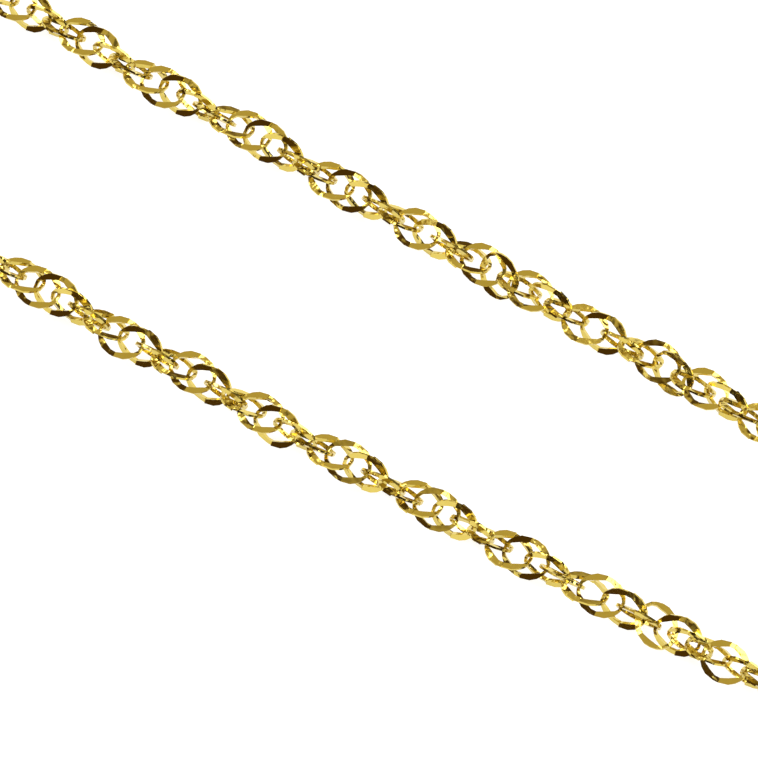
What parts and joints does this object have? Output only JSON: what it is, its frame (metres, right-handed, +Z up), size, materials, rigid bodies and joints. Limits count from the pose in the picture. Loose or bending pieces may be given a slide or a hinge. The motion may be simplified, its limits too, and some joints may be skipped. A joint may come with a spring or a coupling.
{
  "type": "singapore chain necklace",
  "caption": "Twisted flat-link neck chain in yellow gold, closed on a round clasp and laid out as a slim loop; its rings pass through each other and wind like a ribbon.",
  "frame": {"origin": "centre of the laid-out loop, on the surface that the chain rests on", "axes": "+X along the loop towards the end that holds the clasp, +Y across it towards the strand with the clasp, +Z up from the surface"},
  "size_m": [0.2207, 0.0196, 0.0022],
  "materials": {
    "cut_gold": "polished yellow gold with bright flat cuts",
    "clasp_gold": "polished yellow gold"
  },
  "bodies": {
    "root": {"chain_links": "cut_gold", "chain_far_run": "cut_gold", "clasp": "clasp_gold", "clasp_ring": "clasp_gold", "end_ring": "clasp_gold"}
  },
  "joints": []
}
